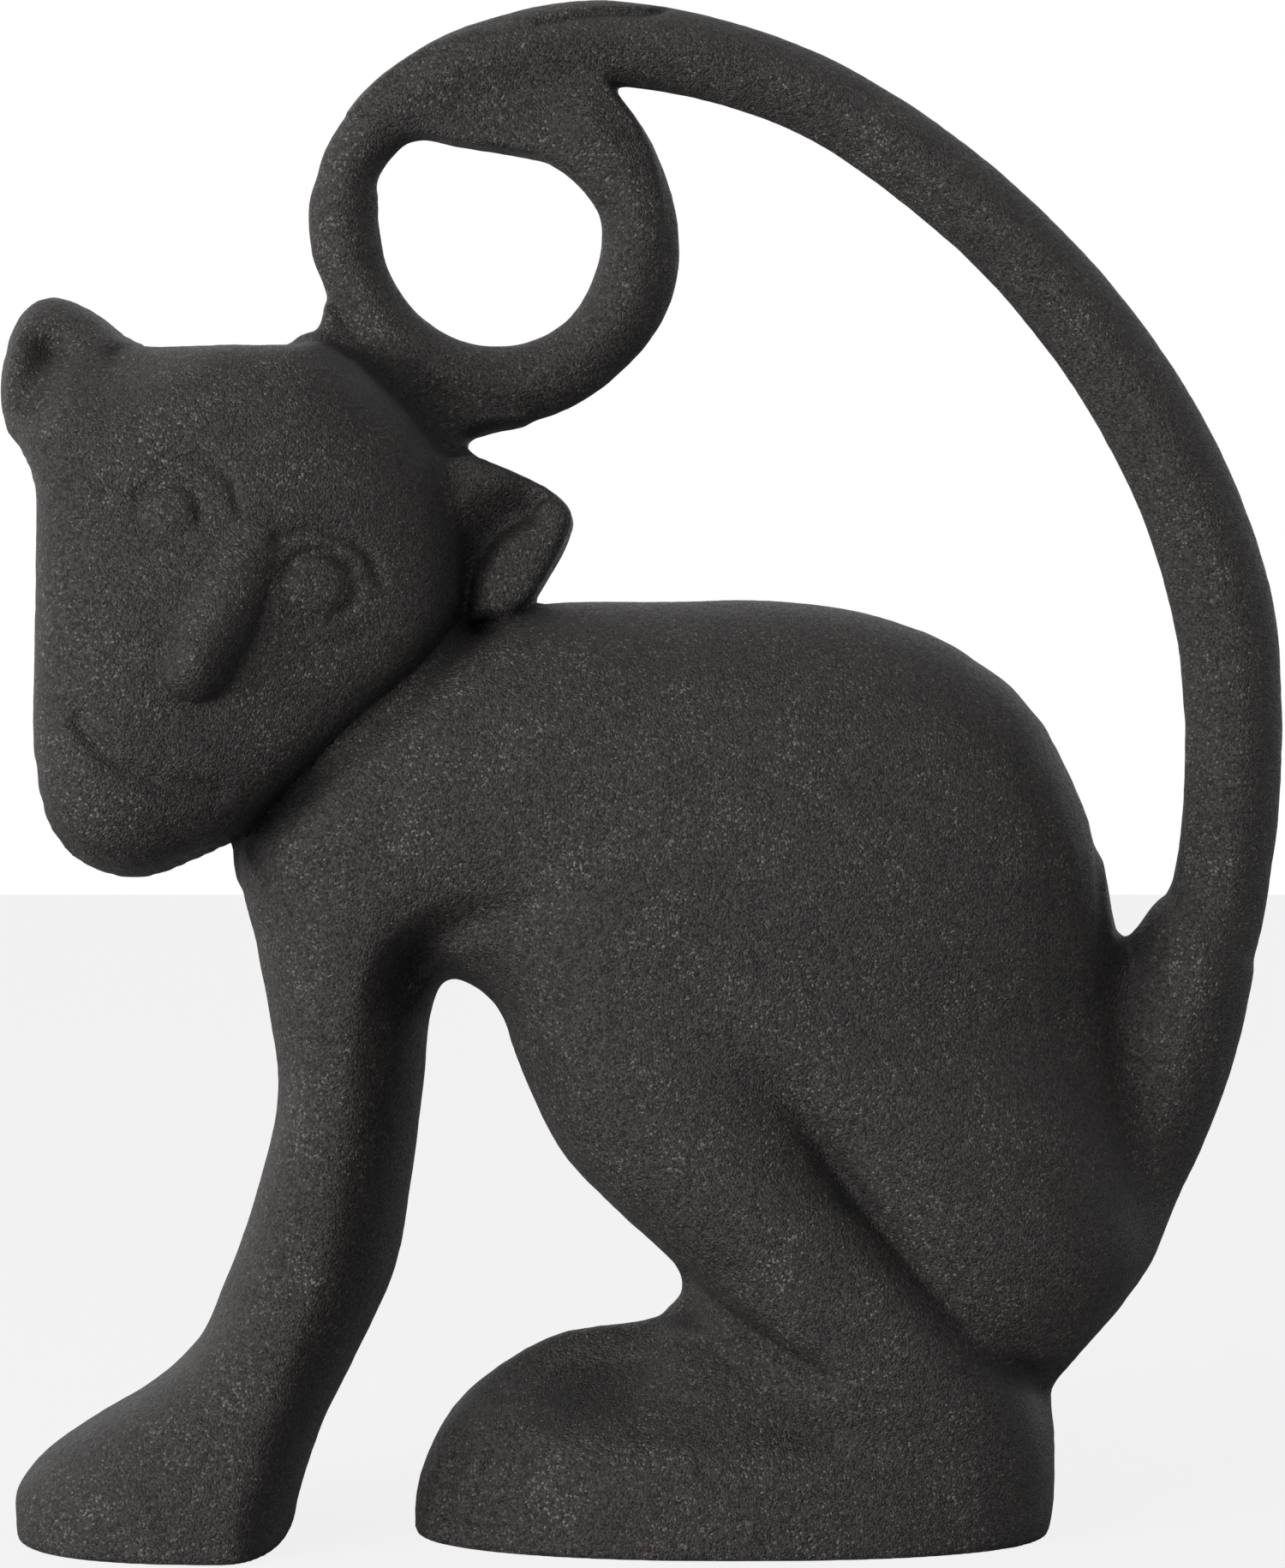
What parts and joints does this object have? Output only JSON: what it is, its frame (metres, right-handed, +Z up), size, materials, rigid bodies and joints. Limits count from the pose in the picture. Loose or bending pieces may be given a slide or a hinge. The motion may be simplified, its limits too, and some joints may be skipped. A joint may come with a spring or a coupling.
{
  "type": "monkey figurine",
  "caption": "Cast-iron monkey figurine standing on broad feet, head turned and tilted, with a long tail that arches over the back and ends in a webbed loop on the crown.",
  "frame": {"origin": "on the floor under the middle of the figure's bounding box", "axes": "+X from the head end to the tail, +Y away from the side that the face looks to, +Z up"},
  "size_m": [0.1568, 0.0594, 0.1876],
  "materials": {
    "iron": "matt black, rough as sand-cast",
    "screw_steel": "blackened"
  },
  "bodies": {
    "root": {"body_left_half": "iron", "body_right_half": "iron", "head": "iron", "tail": "iron", "body_screws": "screw_steel"}
  },
  "joints": []
}
